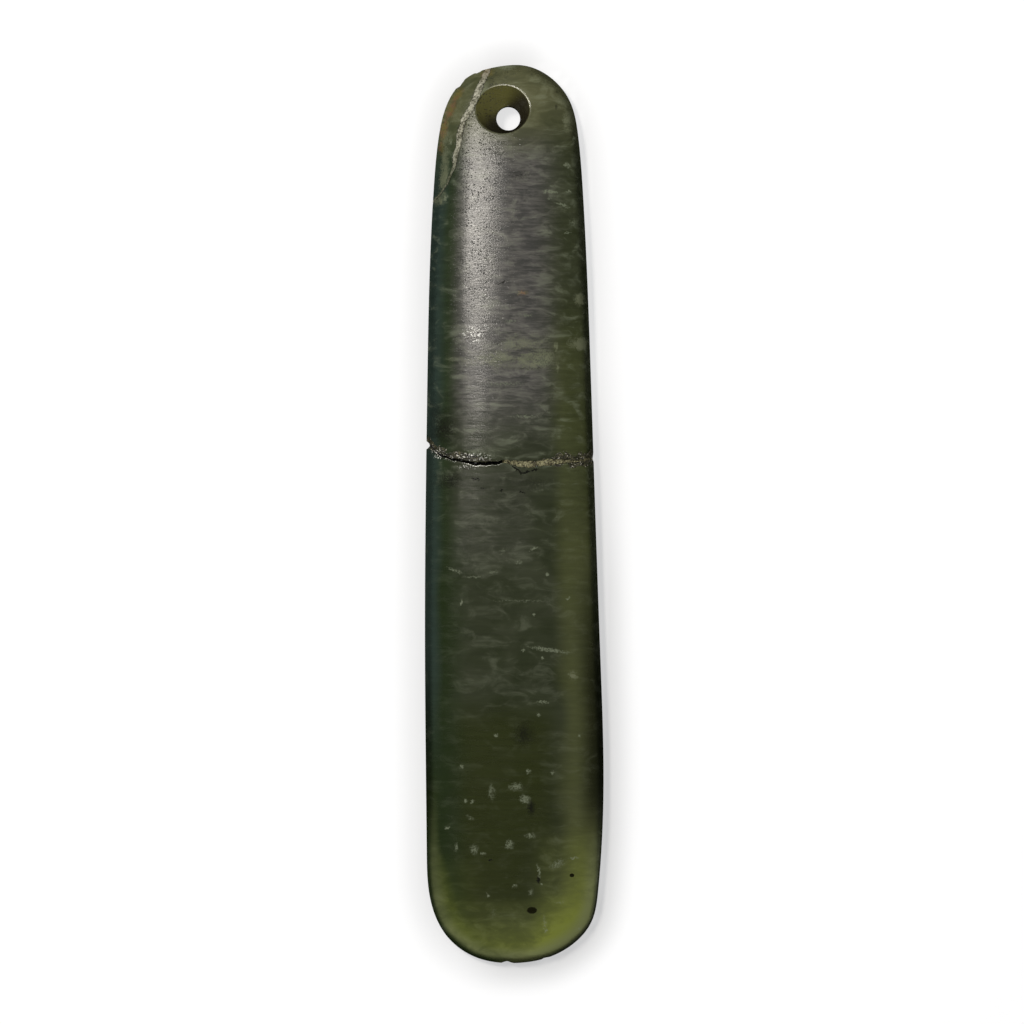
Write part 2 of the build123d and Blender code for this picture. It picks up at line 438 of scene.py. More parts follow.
# the marks of each kind, roughly from the drilled end down
MARKS = {
    "pale": [
        (-1.0, 56.1, 1.3, 0.5, 1.6), (-7.9, 46.5, 0.18, 0.35, 1.2),
        (-8.6, 39.4, 0.2, 0.4, 1.4, -35), (7.5, 46.9, 0.25, 0.25, 1.2),
        (6.6, 43.5, 0.5, 0.25, 1.1, -30), (4.5, 40.1, 0.9, 0.2, 1.1), (6.8, 40.2, 0.4, 0.15, 1.4),
        (4.5, 39.3, 0.3, 0.12, 1.3), (6.0, 38.5, 0.8, 0.14, 1.2, -15), (7.4, 36.3, 0.6, 0.7, 0.55),
        (6.7, 35.0, 0.4, 0.15, 0.9), (0.8, 27.5, 0.6, 0.2, 0.9), (-0.4, 24.0, 1.0, 0.3, 0.6),
        (1.5, 24.7, 0.9, 0.3, 0.6), (3.4, 18.9, 1.6, 0.6, 0.6), (-1.2, 16.2, 3.0, 0.4, 0.5),
        (1.2, 12.1, 2.3, 0.2, 0.6), (-4.9, 7.6, 2.2, 0.5, 0.55), (-2.9, 7.3, 1.4, 0.4, 0.4),
        (-8.4, 7.2, 1.2, 0.3, 0.8, -12), (2.4, -4.3, 0.6, 0.12, 1.2, 28),
        (0.6, -6.0, 0.5, 0.35, 0.6), (-7.4, -7.0, 1.1, 0.2, 0.7, -20), (-5.0, -7.8, 1.3, 0.2, 0.6),
        (-2.5, -7.2, 0.7, 0.25, 0.5), (4.1, -7.5, 0.16, 0.16, 1.3),
        (-1.4, -4.6, 0.8, 0.4, 0.4, 30), (-6.6, -11.0, 0.13, 0.45, 1.2, -15),
        (6.7, -10.5, 0.35, 0.15, 1.0, 30), (2.5, -12.5, 0.2, 0.14, 1.0),
        (0.6, -10.8, 3.8, 0.12, 0.5), (4.3, -16.9, 2.6, 0.24, 0.9, -8),
        (1.2, -17.0, 0.2, 0.16, 1.2), (3.5, -17.9, 0.2, 0.16, 1.2), (3.5, -23.4, 0.8, 0.12, 0.9),
        (3.0, -25.0, 0.22, 0.22, 1.0), (-2.3, -27.6, 0.2, 0.2, 1.1), (8.1, -27.7, 0.25, 0.2, 0.8),
        (1.8, -32.1, 0.3, 0.3, 0.9), (-6.5, -31.5, 0.25, 0.25, 0.9), (4.8, -32.3, 0.2, 0.4, 0.7),
        (-2.8, -34.6, 0.5, 1.1, 0.6), (0.2, -34.0, 0.9, 0.5, 0.8),
        (1.4, -35.6, 0.7, 0.5, 1.1, -20), (-6.1, -35.8, 0.2, 0.2, 1.0),
        (-5.2, -35.9, 0.25, 0.2, 0.9), (-5.5, -37.9, 0.6, 0.25, 0.6, -30),
        (-8.4, -39.2, 0.4, 0.16, 1.4), (2.0, -40.1, 0.7, 0.35, 0.8),
        (-0.6, -41.2, 0.55, 0.55, 1.0), (-5.0, -41.9, 0.5, 0.7, 0.9), (-7.2, -41.6, 0.2, 0.6, 0.9),
        (-3.9, -42.4, 0.4, 0.2, 0.7), (5.4, -43.7, 1.1, 0.5, 0.7, 20),
        (7.4, -43.0, 0.7, 0.14, 0.9), (3.1, -44.6, 0.16, 0.9, 1.0, 8),
        (3.4, -46.2, 0.16, 0.2, 1.2), (-3.3, -47.6, 0.2, 0.3, 1.1), (0.0, -46.4, 0.3, 0.3, 0.8),
        (2.1, -47.2, 0.4, 0.5, 0.6), (3.8, -51.2, 0.3, 1.2, 0.6, 4), (4.0, -52.1, 0.3, 0.28, 1.0),
        (5.8, -48.5, 1.0, 0.25, 0.5, 10), (-2.6, -49.8, 0.5, 0.9, 0.35),
        (8.2, -51.9, 0.5, 0.3, 0.6, 30),
    ],
    "moss": [
        (-3.9, 53.0, 0.9, 1.4, 1.2, -10), (-6.0, 53.9, 1.0, 0.7, 0.9, 30),
        (3.6, 54.0, 2.2, 0.7, 0.7, -20), (6.2, 51.5, 1.2, 1.0, 0.6), (-8.5, 47.6, 0.7, 2.6, 0.8),
        (-8.8, 42.5, 0.6, 3.2, 0.9, -4), (6.9, 49.2, 0.8, 1.5, 0.8), (-9.5, 39.2, 0.5, 0.8, 1.0),
        (5.2, 20.8, 0.25, 0.7, 0.9), (5.4, 18.2, 0.25, 0.6, 0.8), (8.2, 26.7, 0.6, 0.8, 1.0),
        (7.9, 21.2, 1.4, 0.7, 1.3), (-7.8, 19.2, 1.4, 0.9, 0.3), (-2.4, 19.2, 4.4, 1.2, 0.6),
        (2.6, 19.3, 2.6, 1.2, 0.9, 4), (1.0, 21.2, 4.0, 1.6, 0.45), (7.3, -20.1, 0.6, 0.6, 0.9),
    ],
    "dark": [
        (5.3, 52.7, 0.4, 0.25, 0.35), (5.2, 50.8, 0.15, 0.35, 0.4), (2.2, 54.9, 0.35, 0.3, 0.3),
        (-1.7, 43.6, 0.5, 0.08, 0.9, 10), (0.6, 42.2, 2.0, 0.9, 0.3),
        (-1.5, 28.8, 0.75, 0.08, 1.0, 18), (-5.2, 27.4, 0.2, 0.2, 1.0),
        (2.0, 18.1, 2.4, 0.08, 0.3), (-8.8, 10.6, 2.0, 2.4, 0.4), (-9.8, 12.4, 1.0, 2.4, 0.3),
        (0.4, 5.5, 0.7, 0.12, 1.2, -38), (1.4, 5.15, 0.6, 0.12, 1.2, 20),
        (2.5, 5.5, 0.6, 0.1, 0.9, 12), (2.6, 3.8, 3.2, 1.1, 0.25), (-8.0, 4.2, 2.2, 1.4, 0.35),
        (-4.9, 4.4, 0.4, 0.1, 0.8, -15), (-4.4, 4.3, 0.12, 0.25, 0.8),
        (-3.8, 3.2, 0.4, 0.08, 0.6, -10), (1.0, 2.7, 0.4, 0.12, 0.7), (-1.6, 2.9, 0.12, 0.2, 0.7),
        (1.2, -27.4, 1.4, 1.8, 0.35), (2.1, -36.6, 0.5, 1.0, 0.5), (-3.0, -43.2, 0.35, 0.14, 0.9),
        (3.0, -45.7, 0.16, 0.5, 0.9),
    ],
    "rust": [
        (-7.1, 52.5, 0.5, 1.1, 1.1, -35), (-8.0, 50.6, 0.55, 1.4, 0.95, -20),
        (-8.8, 48.2, 0.5, 1.5, 0.9, -10), (-9.1, 46.0, 0.4, 1.2, 0.6),
        (-3.4, 55.3, 1.0, 0.6, 1.0, 15), (1.05, 27.5, 0.8, 0.35, 0.5),
    ],
    # sparkles: dark specks with painted white glints
    "spark": [
        (-5.1, 22.3, 1.1, 0.9, 1.2), (-3.4, 23.2, 0.5, 0.3, 0.8), (-4.9, 7.1, 2.0, 0.45, 0.7),
        (-7.6, 6.9, 0.9, 0.25, 1.0, -15), (-9.3, 7.4, 1.0, 0.5, 0.9, -20),
        (-5.9, 5.8, 1.3, 0.25, 0.6),
    ],
    "spot": [
        (2.2, -49.5, 0.62, 0.42, 1.2), (7.2, -45.15, 0.3, 0.24, 1.2),
    ],
}


def side_distances(x, y):
    """Distance from the bar's left and right sides at the same height up the bar."""
    order = np.argsort(rim[:, 1])
    left = order[rim[order, 0] < 0]
    right = order[rim[order, 0] >= 0]
    return (
        x - np.interp(y, rim[left, 1], rim[left, 0]),
        np.interp(y, rim[right, 1], rim[right, 0]) - x,
    )


HOLE = next(m for m in frame["record"]["mounts"] if m["name"] == "cord_hole")
HOLE_X, HOLE_Y, HOLE_Z = HOLE["pos_m"]
WAIST_RADIUS = HOLE["dims"]["r_mm"] * MM
WAIST_HALF = HOLE["dims"]["length_mm"] * MM / 2
MOUTH_X, MOUTH_Y = HOLE_X - 0.7 * MM, HOLE_Y + 0.95 * MM
MOUTH_HALF_WIDTH, MOUTH_HALF_HEIGHT = 3.4 * MM, 3.1 * MM
BACK_MOUTH_RADIUS = 3.0 * MM
LIP_RADIUS = 0.08 * MM


def mouth_distance(x, y):
    """Distance outwards from the hole's front mouth, near enough: how far the scaled
    radius is past 1, times the mouth's mean radius."""
    scaled = np.hypot((x - MOUTH_X) / MOUTH_HALF_WIDTH, (y - MOUTH_Y) / MOUTH_HALF_HEIGHT)
    return (scaled - 1) * (MOUTH_HALF_WIDTH + MOUTH_HALF_HEIGHT) / 2


def freshness(depth):
    """How freshly broken the face looks where so much of it is chipped off."""
    return soft_step(depth, 0.02 * MM, 0.12 * MM)


def zones(piece, chips):
    """Stores on the mesh how strongly each point belongs to each tone of the stone, from places and
    distances in millimetres. chips gives how freshly broken each point is. Some tones hold painted light
    and shade: glow and olive light showing through thin stone, painted_sheen a sheen of the lamp, edge
    shade on the steep sides, hollow and shaded_far_wall light and shade in the cord hole, and lip a
    highlight on its mouth."""
    points = mesh_points(piece)
    x, y, z = points.T
    angle = np.arctan2(y - MOUTH_Y, x - MOUTH_X)
    depth_in = -mouth_distance(x, y) / MM
    from_left, from_right = (distance / MM for distance in side_distances(x, y))
    rim_gap = rim_reach(points[:, :2])[0] / MM
    x, y, z = points.T / MM
    drift = ripple(x, y, 5, 61)
    teal = soft_step(from_left, 2.4 + 0.4 * drift, 0.9)
    teal *= soft_step(y, -36, -16) * soft_step(y, 50, 38)
    green = soft_step(from_left, 4.2 + 2.2 * soft_step(y, 4, -10) + 0.6 * drift, 2.0)
    # painted light: olive where light shows through the thin right side
    olive = soft_step(from_right, 6.0 + 0.8 * drift, 3.6) * (0.8 + 0.2 * drift)
    olive *= soft_step(from_right, 0.4, 1.2) * (1 - 0.75 * soft_step(y, 18, 30))
    # painted sheen: a grey-violet reflection of the lamp beside the polish highlight
    painted_sheen = soft_step(y, 6, 18) * soft_step(y, 50, 43)
    painted_sheen += 0.2 * soft_step(y, 8, 4) * soft_step(y, -9, -3) * soft_step(x, 4, 0)
    painted_sheen *= soft_step(x, 7, 1.5) * soft_step(from_left, 2.4, 5)
    # painted shade on the steep left and right sides
    left_side_shade = soft_step(from_left, 1.2, 0.5) * soft_step(y, 44, 38)
    left_side_shade *= 0.25 + 0.3 * soft_step(y, -12, -26)
    left_side_shade *= 1 - 0.7 * soft_step(y, -34, -43)
    right_side_shade = soft_step(from_right, 3.6, 1) * soft_step(y, -2, -24)
    right_side_shade *= 1 - 0.9 * soft_step(y, -34, -43)
    # painted light: the thin bottom end and sides glow where light shows through the stone
    glow = 0.14 * soft_step(y, -47 + drift, -49.5)
    glow += 0.27 * soft_step(y, -49.5, -53)
    glow += 0.06 * soft_step(y, -41, -46) * soft_step(x, -3, -7)
    glow += 0.30 * soft_step(y, -52.3 + 0.5 * drift, -55.2) * soft_step(x, -8, -1)
    glow += 0.34 * soft_step(y, -46, -51) * soft_step(x, 1, 6)
    glow += 0.15 * soft_step(y, -38, -43) * soft_step(x, 1.5, 5)
    narrow = 1.8 + 2 * soft_step(y, -40, -48)
    glow += 0.36 * soft_step(from_left, narrow, 0.8) * soft_step(y, -32, -47)
    glow += 0.40 * soft_step(from_right, 3, 1) * soft_step(y, -42, -47)
    glow += 0.30 * soft_step(from_right, 5.5, 2.5) * soft_step(y, -36, -47)
    dark_rim = 0.75 + 0.4 * soft_step(y, -51, -53.5)
    glow *= soft_step(rim_gap, 0.2, dark_rim)
    head = 0.85 * soft_step(y, 43, 51) * (0.85 + 0.15 * drift)
    head *= 1 - 0.5 * soft_step(x, 2, 5) * soft_step(y, 53.5, 49)
    core = 0.9 * soft_step(y, -22, -27) * soft_step(y, -52, -47)
    core *= soft_step(from_left, 2.4, 5) * soft_step(from_right, 3.6, 8.5)
    core *= 1 - 0.3 * soft_step(y, -38, -42) * soft_step(x, 0, 3)
    worn = soft_step(y, -1, 20) * soft_step(from_left, 1.6, 3.6)
    worn *= soft_step(x, 3, -5)
    # the cord hole's wall is painted: lit olive on its near side, painted shade on its far wall
    hollow = soft_step(depth_in, 0.02, 0.12) * soft_step(z, 0, 1)
    # painted highlight along the hole's mouth, on its upper right
    lip = np.exp(-((depth_in / 0.05) ** 2)) * soft_step(np.cos(angle - 1.15), 0.1, 0.7)
    tones = {
        "teal": teal,
        "green": green,
        "olive": olive,
        "painted_sheen": painted_sheen,
        "edge": np.maximum(left_side_shade, 0.75 * right_side_shade),
        "glow": glow,
        "near_rim": soft_step(rim_gap, 2.6, 0.8),
        "head": head,
        "core": core,
        "worn": worn,
        "fresh": chips,
        "hollow": hollow,
        "shaded_far_wall": hollow * soft_step(np.cos(angle + 0.9), -0.75, 0.35),
        "lip": lip,
    }
    for tone, value in tones.items():
        layer = piece.data.attributes.new(tone, "FLOAT", "POINT")
        layer.data.foreach_set("value", np.clip(value, 0, 2).astype(np.float32))


def rgb(red, green, blue):
    """A colour given as a screen shows it, as the linear values that a shader takes."""
    shown = np.array([red, green, blue]) / 255
    linear = np.where(shown < 0.04045, shown / 12.92, ((shown + 0.055) / 1.055) ** 2.4)
    return (*linear, 1.0)


class Shader:
    """The nodes of a material or of the world in the making: add() puts one node in, its
    kind named without the nodes' common prefix, and fills its inputs with numbers, colours
    or other nodes' outputs."""

    def __init__(self, owner, last="Principled BSDF"):
        owner.use_nodes = True
        self.owner = owner
        self.tree = owner.node_tree
        self.surface = self.tree.nodes[last]

    def fill(self, node, inputs):
        for key, value in inputs.items():
            if isinstance(value, bpy.types.NodeSocket):
                self.tree.links.new(value, node.inputs[key])
            else:
                node.inputs[key].default_value = value

    def add(self, kind, inputs, **settings):
        node = self.tree.nodes.new("ShaderNode" + kind)
        for key, value in settings.items():
            setattr(node, key, value)
        self.fill(node, inputs)
        return node.outputs

    def tone(self, name):
        return self.add("Attribute", {}, attribute_name=name)["Fac"]

    def place(self):
        return self.add("TexCoord", {})["Object"]

    def stretched(self, per_mm):
        """Object coordinates with so many units to the millimetre along X, Y and Z."""
        scale = tuple(p / MM for p in per_mm)
        return self.add("Mapping", {"Vector": self.place(), "Scale": scale})["Vector"]

    def noise(self, per_mm, detail=3.0, roughness=0.55, warp=0.0):
        inputs = {"Vector": self.stretched(per_mm), "Scale": 1.0, "Detail": detail}
        inputs.update({"Roughness": roughness, "Distortion": warp})
        return self.add("TexNoise", inputs)["Fac"]

    def cells(self, per_mm):
        """Random cells that run right through the stone, so many to the millimetre: how far
        a point is from its cell's middle, in cells, and the cell's own number from 0 to 1."""
        inputs = {"Vector": self.stretched(per_mm), "Scale": 1.0}
        node = self.add("TexVoronoi", inputs, voronoi_dimensions="2D")
        own = self.add("SeparateColor", {"Color": node["Color"]})["Red"]
        return node["Distance"], own

    def math(self, operation, result, *others):
        """The operation on the first two values, then on its result and the next one."""
        for value in others:
            inputs = {0: result, 1: value}
            result = self.add("Math", inputs, operation=operation)["Value"]
        return result

    def times(self, *factors):
        return self.math("MULTIPLY", *factors)

    def largest(self, *values):
        return self.math("MAXIMUM", *values)

    def ramp(self, value, start, end, low=0.0, high=1.0):
        inputs = {"Value": value, "From Min": start, "From Max": end, "To Min": low, "To Max": high}
        return self.add("MapRange", inputs, interpolation_type="SMOOTHSTEP")["Result"]

    def mix(self, share, first, second, blend="MIX"):
        settings = {"data_type": "RGBA", "blend_type": blend, "clamp_factor": True}
        return self.add("Mix", {0: share, 6: first, 7: second}, **settings)[2]

    def marks(self, kind, place):
        """How strongly a point lies in any of the table's marks of one kind: the largest of
        their soft ellipsoids, which reach down through the face but not to the back."""
        total = 0.0
        for m in (Mark(*row) for row in MARKS[kind]):
            inputs = {
                "Vector": place,
                "Location": (m.x * MM, m.y * MM, MARK_HEIGHT),
                "Rotation": (0, 0, np.radians(m.turn)),
                "Scale": (MARK_REACH * m.across * MM, MARK_REACH * m.along * MM, THICKNESS),
            }
            near = self.add("Mapping", inputs, vector_type="TEXTURE")["Vector"]
            soft = self.add("TexGradient", {"Vector": near}, gradient_type="SPHERICAL")["Fac"]
            total = self.largest(total, self.times(soft, MARK_GAIN * m.strength))
        return total


NEPHRITE_IOR = 1.61
GRAIN_DEPTH = 0.02 * MM


def greenstone():
    """Nephrite: a dark olive body with teal on the left bevel, streaked across the bar, with pale wisps,
    pits, sparkles, rusty rind and fresh chips. Painted on it as colour: lighter olive where light shows
    through the thin stone, a grey sheen beside the polish highlight, shade on the steep sides and in the
    cord hole, and white glints on the sparkles, the chips and the hole's lip."""
    s = Shader(bpy.data.materials.new("greenstone_nephrite"))
    streak = s.noise((0.2, 1.8, 0.6), 4.0, 0.55, 0.6)
    brushed = s.noise((0.4, 3.0, 1.2), 4.0, 0.62, 0.9)
    cloud = s.noise((0.35, 0.7, 0.5), 5.0, 0.6, 0.8)
    mottle = s.noise((0.14, 0.22, 0.3), 3.0, 0.55, 0.7)
    crumb = s.noise((5.0, 5.0, 5.0), 3.0, 0.6)
    plain = s.place()
    along = s.add("SeparateXYZ", {"Vector": plain})["Y"]
    upper = s.ramp(along, -12 * MM, 14 * MM)
    ground = s.ramp(along, 12 * MM, 36 * MM, 0.15, 1.0)
    ground = s.math("ADD", ground, s.ramp(along, 34 * MM, 46 * MM, 0.0, 0.4))
    ground = s.times(s.tone("worn"), ground)
    place = plain
    for per_mm, size in ((2.5, 0.7 * MM), (7.0, 0.16 * MM)):
        drift = s.add("TexNoise", {"Vector": s.stretched((per_mm,) * 3), "Scale": 1.0})["Color"]
        drift = s.add("VectorMath", {0: drift, 1: (0.5,) * 3}, operation="SUBTRACT")["Vector"]
        drift = s.add("VectorMath", {0: drift, 1: (size,) * 3}, operation="MULTIPLY")["Vector"]
        place = s.add("VectorMath", {0: place, 1: drift}, operation="ADD")["Vector"]
    colour = s.mix(s.ramp(mottle, 0.3, 0.7), rgb(41, 46, 30), rgb(53, 57, 42))
    colour = s.mix(s.ramp(cloud, 0.45, 0.75, 0.0, 0.7), colour, rgb(71, 75, 60))
    colour = s.mix(s.tone("core"), colour, rgb(41, 46, 21))
    deep_green = s.mix(upper, rgb(30, 41, 19), rgb(36, 47, 28))
    colour = s.mix(s.times(s.tone("green"), 0.9), colour, deep_green)
    colour = s.mix(s.tone("teal"), colour, rgb(43, 55, 49))
    # painted light through the thin right side, lighter olive
    thin_olive = s.mix(upper, rgb(76, 80, 48), rgb(68, 73, 42))
    colour = s.mix(s.times(s.tone("olive"), 0.8), colour, thin_olive)
    blotch = s.times(s.math("ADD", brushed, cloud), 0.5)
    # painted sheen beside the polish highlight
    sheen_colour = s.mix(s.ramp(blotch, 0.4, 0.6), rgb(70, 68, 70), rgb(104, 100, 99))
    colour = s.mix(s.times(s.tone("painted_sheen"), 0.62), colour, sheen_colour)
    # painted light showing through the thin stone
    glow = s.times(s.tone("glow"), s.ramp(mottle, 0.3, 0.7, 0.85, 1.1), s.ramp(cloud, 0.35, 0.65, 0.8, 1.2))
    colour = s.mix(glow, colour, s.mix(s.tone("near_rim"), rgb(106, 114, 48), rgb(106, 112, 72)))
    head = s.times(s.tone("head"), s.ramp(cloud, 0.3, 0.7, 0.6, 1.15))
    colour = s.mix(head, colour, rgb(98, 98, 70))
    calm = s.ramp(s.largest(s.tone("glow"), s.tone("head")), 0.1, 0.45)
    calm = s.largest(calm, s.ramp(upper, 0.0, 1.0, 0.65, 0.4), s.ramp(s.tone("painted_sheen"), 0.0, 1.0, 0.0, 0.7))
    band = s.ramp(streak, 0.3, 0.7, 0.78, 1.24)
    band = s.add("Mix", {"Factor": calm, 2: band, 3: 1.0})[0]
    # painted shade: the colour is darker on the steep sides
    band = s.times(band, s.math("SUBTRACT", 1.0, s.tone("edge")))
    grey = s.add("CombineColor", {"Red": band, "Green": band, "Blue": band})["Color"]
    colour = s.mix(1.0, colour, grey, "MULTIPLY")
    wisp = s.times(s.ramp(cloud, 0.5, 0.7), s.ramp(streak, 0.4, 0.65, 0.1, 0.32))
    wisp = s.times(wisp, s.ramp(upper, 0.0, 1.0, 0.18, 1.0))
    hair = s.times(s.ramp(brushed, 0.60, 0.70, 0.0, 0.2), s.ramp(cloud, 0.4, 0.58))
    hair = s.times(hair, s.ramp(s.tone("painted_sheen"), 0.0, 1.0, 0.3, 1.0))
    pale = s.times(s.marks("pale", place), s.ramp(crumb, 0.36, 0.64, 0.35, 1.25))
    pale = s.largest(wisp, hair, s.ramp(pale, 0.1, 1.2, 0.0, 0.62))
    colour = s.mix(pale, colour, rgb(120, 127, 106))
    moss = s.times(s.marks("moss", place), s.ramp(cloud, 0.35, 0.6, 0.5, 1.2))
    moss = s.times(moss, s.ramp(crumb, 0.35, 0.65, 0.6, 1.2))
    colour = s.mix(s.ramp(moss, 0.1, 1.0, 0.0, 0.7), colour, rgb(106, 110, 86))
    rust = s.times(s.marks("rust", place), s.ramp(crumb, 0.3, 0.6, 0.5, 1.3))
    ochre = s.mix(s.ramp(s.noise((0.9, 0.9, 0.9), 2.0), 0.4, 0.6), rgb(116, 84, 60), rgb(104, 94, 50))
    colour = s.mix(s.ramp(rust, 0.1, 1.0, 0.0, 0.75), colour, ochre)
    dark = s.times(s.marks("dark", place), s.ramp(crumb, 0.3, 0.6, 0.6, 1.3))
    colour = s.mix(s.ramp(dark, 0.05, 0.85), colour, rgb(22, 23, 18))
    colour = s.mix(s.ramp(s.marks("spot", plain), 0.35, 0.75), colour, rgb(20, 20, 8))
    # painted light and shade in the cord hole: lit olive, dark on the far wall
    cone = s.mix(s.tone("shaded_far_wall"), rgb(82, 80, 38), rgb(28, 24, 16))
    colour = s.mix(s.times(s.tone("hollow"), 0.92), colour, cone)
    # painted highlight on the hole's lip
    colour = s.mix(s.ramp(s.times(s.tone("lip"), crumb), 0.2, 0.5), colour, rgb(176, 174, 152))
    flake = s.noise((2.4, 4.4, 3.0), 4.0, 0.7, 0.6)
    broken = s.mix(s.ramp(flake, 0.42, 0.50), rgb(20, 20, 14), rgb(52, 51, 34))
    broken = s.mix(s.ramp(flake, 0.56, 0.62), broken, rgb(100, 96, 68))
    # painted white glints on the chips
    broken = s.mix(s.ramp(crumb, 0.62, 0.67), broken, rgb(206, 202, 186))
    fresh = s.ramp(s.times(s.tone("fresh"), s.ramp(crumb, 0.35, 0.6, 0.5, 1.2)), 0.2, 0.8)
    colour = s.mix(fresh, colour, broken)
    spark = s.ramp(s.marks("spark", place), 0.1, 0.8)
    colour = s.mix(s.times(spark, s.ramp(crumb, 0.46, 0.38)), colour, rgb(28, 26, 20))
    # painted white glints in the sparkles
    colour = s.mix(s.times(spark, s.ramp(crumb, 0.57, 0.62)), colour, rgb(236, 236, 228))
    crowd = s.ramp(s.noise((0.7, 1.0, 1.0), 2.0), 0.38, 0.6)
    pit = 0.0
    for per_mm, share, radius in ((1.4, 0.64, 0.16), (2.7, 0.5, 0.27)):
        off, own = s.cells((per_mm, 1.4 * per_mm, per_mm))
        hollow = s.times(s.ramp(off, radius, 0.5 * radius), s.ramp(own, share, share + 0.1))
        pit = s.largest(pit, hollow)
    scratch = s.ramp(brushed, 0.34, 0.26, 0.0, 0.35)
    pit = s.times(s.largest(s.times(pit, crowd), scratch), ground)
    colour = s.mix(s.times(pit, 0.7), colour, rgb(26, 24, 20))
    smooth = s.ramp(brushed, 0.3, 0.7, 0.15, 0.21)
    roughness = s.math("ADD", smooth, s.times(ground, 0.10), s.times(s.largest(fresh, pit), 0.35))
    height = s.math("SUBTRACT", s.times(brushed, 0.35), s.times(pit, 1.2))
    relief = s.times(brushed, ground, 0.4), s.times(crumb, ground, 0.95), s.times(flake, fresh, 3.0)
    height = s.math("ADD", height, *relief)
    bump = s.add("Bump", {"Height": height, "Strength": 1.0, "Distance": GRAIN_DEPTH})["Normal"]
    s.fill(s.surface, {"Base Color": colour, "Roughness": roughness, "Normal": bump, "IOR": NEPHRITE_IOR})
    return s.owner


STONE = greenstone()


x, y, z = mesh_points(lower).T
zones(lower, freshness(lip_chips(x, y, -1, LOWER_CHIPS)))
lower.data.materials.append(STONE)
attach(lower, "root")
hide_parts("lower_stone")


# Upper stone: the narrower half of the bar, from the cross break to the drilled top end,
# of the same nephrite. Its top left corner is off along a slanting crack. The cord hole
# was drilled from both sides, the front cone aslant, and cord wear has rounded its lip.

NECK = 43.0 * MM
CORNER_LENGTH = 17.2 * MM
CORNER_FRESHNESS = 0.35


class CrackPoint(NamedTuple):
    across: float  # share of the width, from the middle line
    drop: float  # share of the crack's length down from the top end


CORNER = [CrackPoint(*row) for row in (
    (-0.11, -0.12), (-0.15, 0.04), (-0.21, 0.25), (-0.24, 0.33), (-0.28, 0.41), (-0.30, 0.52),
    (-0.32, 0.64), (-0.33, 0.75), (-0.37, 0.87), (-0.42, 0.96), (-0.62, 1.20),
)]


def crack_line(side):
    """The corner crack from past the top end down to past the left side: the table's
    straight stretches, jagged. side -1 gives the corner's lip, 1 the other stone's lip and 0
    the middle. The crack is widest at the top end and closes up towards the left side."""
    table = np.array(CORNER)
    bare = np.stack([table[:, 0] * WIDTH, LENGTH / 2 - table[:, 1] * CORNER_LENGTH], 1)
    line = resampled(bare, np.linspace(0, 1, 900))
    way = np.gradient(line, axis=0)
    square = np.stack([-way[:, 1], way[:, 0]], 1) / np.hypot(*way.T)[:, None]
    run = travelled(line)
    jag = 0.06 * MM * ripple(run, 0 * run, 0.6 * MM, 5) + 0.04 * MM * ripple(run, 0 * run, 0.22 * MM, 6)
    half = (0.12 + (0.2 if side > 0 else 0.32) * soft_step(line[:, 1], 39.5 * MM, 47.5 * MM)) * MM
    half = half * (1 + 0.25 * ripple(run, side + 0 * run, 0.8 * MM, 7))
    return line + square * (side * half + jag)[:, None]


def within_rim(line):
    """The part of a crack that lies on the stone, its two ends set on the rim."""
    left = rim[rim[:, 0] < 0]
    order = np.argsort(left[:, 1])
    inside = line[line[:, 0] > np.interp(line[:, 1], left[order, 1], left[order, 0])]
    top = rim[rim[:, 1] > 0]
    order = np.argsort(top[:, 0])
    inside = inside[inside[:, 1] < np.interp(inside[:, 0], top[order, 0], top[order, 1])]
    ends = [rim[((rim - inside[i]) ** 2).sum(1).argmin()][None] for i in (0, -1)]
    return np.vstack([ends[0], inside[2:-2], ends[1]])


crack_middle = crack_line(0)


def corner_chips(x, y, seed):
    """Depth chipped off the face beside the corner crack: a scoop from the crack's lip,
    wider towards the top end, broken up by ripples."""
    points = np.stack([x, y], 1)
    crowd = np.array_split(points, len(points) // 2000 + 1)
    off = np.concatenate([((p[:, None] - crack_middle[None]) ** 2).sum(2).min(1) ** 0.5 for p in crowd])
    width = (0.14 + 0.1 * soft_step(y, 44 * MM, 52 * MM)) * MM
    width = width * (0.8 + 0.4 * ripple(x, y, 0.7 * MM, seed))
    share = np.clip(1 - (off - 0.1 * MM) / np.maximum(width, 0.05 * MM), 0, 1)
    return share**0.8 * width * (0.3 + 0.15 * ripple(x, y, 0.3 * MM, seed + 1))


def upper_face(x, y, reach):
    chips = lip_chips(x, y, 1, UPPER_CHIPS) + corner_chips(x, y, UPPER_CORNER_CHIPS)
    lip = LIP_RADIUS * np.exp(-((mouth_distance(x, y) / LIP_RADIUS) ** 2))
    return face_height(x, y, reach) - chips - 0.6 * lip


def drilled(mouth, back_mouth, angle):
    """The hole's wall as three grids: straight lines from the mouth to the waist's ring, the
    waist, and straight lines to the back's mouth, with the drill's rings cut into them."""
    ring = np.stack([HOLE_X + WAIST_RADIUS * np.cos(angle), HOLE_Y + WAIST_RADIUS * np.sin(angle)], 1)
    waist_top = np.column_stack([ring, np.full(len(ring), HOLE_Z + WAIST_HALF)])
    waist_low = np.column_stack([ring, np.full(len(ring), HOLE_Z - WAIST_HALF)])
    grids = []
    stretches = (mouth, waist_top, 31), (waist_top, waist_low, 4), (waist_low, back_mouth, 19)
    for start, end, rows in stretches:
        share = np.linspace(0, 1, rows)[:, None]
        grid = start[None] * (1 - share[..., None]) + end[None] * share[..., None]
        groove = ripple(7 * share * MM, angle[None] * MM, MM, 51)
        groove *= 0.035 * MM * np.sin(np.pi * share) ** 0.5
        grid[..., 0] += groove * np.cos(angle)
        grid[..., 1] += groove * np.sin(angle)
        grids.append(grid)
    return grids


